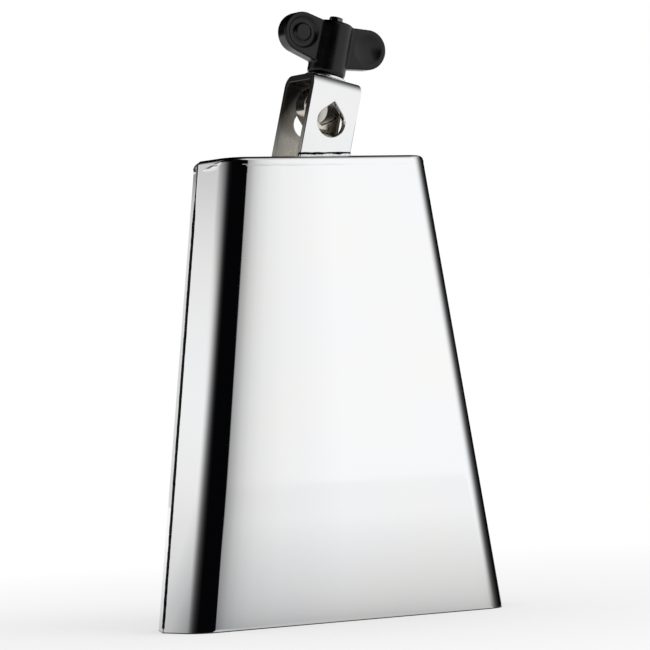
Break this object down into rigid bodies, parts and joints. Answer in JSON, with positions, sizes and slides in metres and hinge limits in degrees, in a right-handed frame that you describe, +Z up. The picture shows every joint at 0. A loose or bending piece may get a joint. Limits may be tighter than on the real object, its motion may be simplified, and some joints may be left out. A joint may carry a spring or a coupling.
{
  "type": "timbales cowbell",
  "caption": "Tapered folded-sheet chrome cowbell with welded side seams, a leaning strap clamp with an eyebolt on its crown, and a black wing nut to grip a stand rod.",
  "frame": {"origin": "middle of the mouth, in the plane of the mouth rim that the bell stands on", "axes": "+Z up from the mouth to the crown, -Y out of the playing face, +X to the side that the clamp leans to"},
  "size_m": [0.1638, 0.046, 0.2684],
  "materials": {
    "chromed_sheet": "mirror chrome plate on folded steel sheet",
    "chromed_strap": "mirror chrome plate on bent steel strap",
    "chromed_weld": "uneven weld bead plated over",
    "nickel_steel": "warm bright nickel plate on forged steel",
    "bright_zinc": "bright zinc plate",
    "black_plastic": "satin moulded black nylon",
    "insert_brass": "machined brass"
  },
  "bodies": {
    "bell": {"bell_body": "chromed_sheet", "left_seam_weld": "chromed_weld", "right_seam_weld": "chromed_weld", "clamp_bracket": "chromed_strap", "bracket_front_weld": "chromed_weld", "bracket_rear_weld": "chromed_weld", "flat_washer": "bright_zinc"},
    "wing_nut": {"wing_nut_grip": "black_plastic", "wing_nut_insert": "insert_brass"},
    "eyebolt": {"eyebolt": "nickel_steel"}
  },
  "joints": [
    {"name": "wing_nut_turn", "type": "hinge", "parent": "bell", "child": "wing_nut", "pos_m": [0.0003, 0, 0.203], "axis": [0.2402, -0.0406, 0.9699], "range_deg": [0, 2628]},
    {"name": "eyebolt_lift", "type": "slide", "parent": "bell", "child": "eyebolt", "axis": [0.2402, -0.0406, 0.9699], "range_m": [-0.0073, 0]}
  ],
  "couplings": [
    {"joint": "wing_nut_turn", "follows": "eyebolt_lift", "rad_per_m": -6283.2}
  ]
}
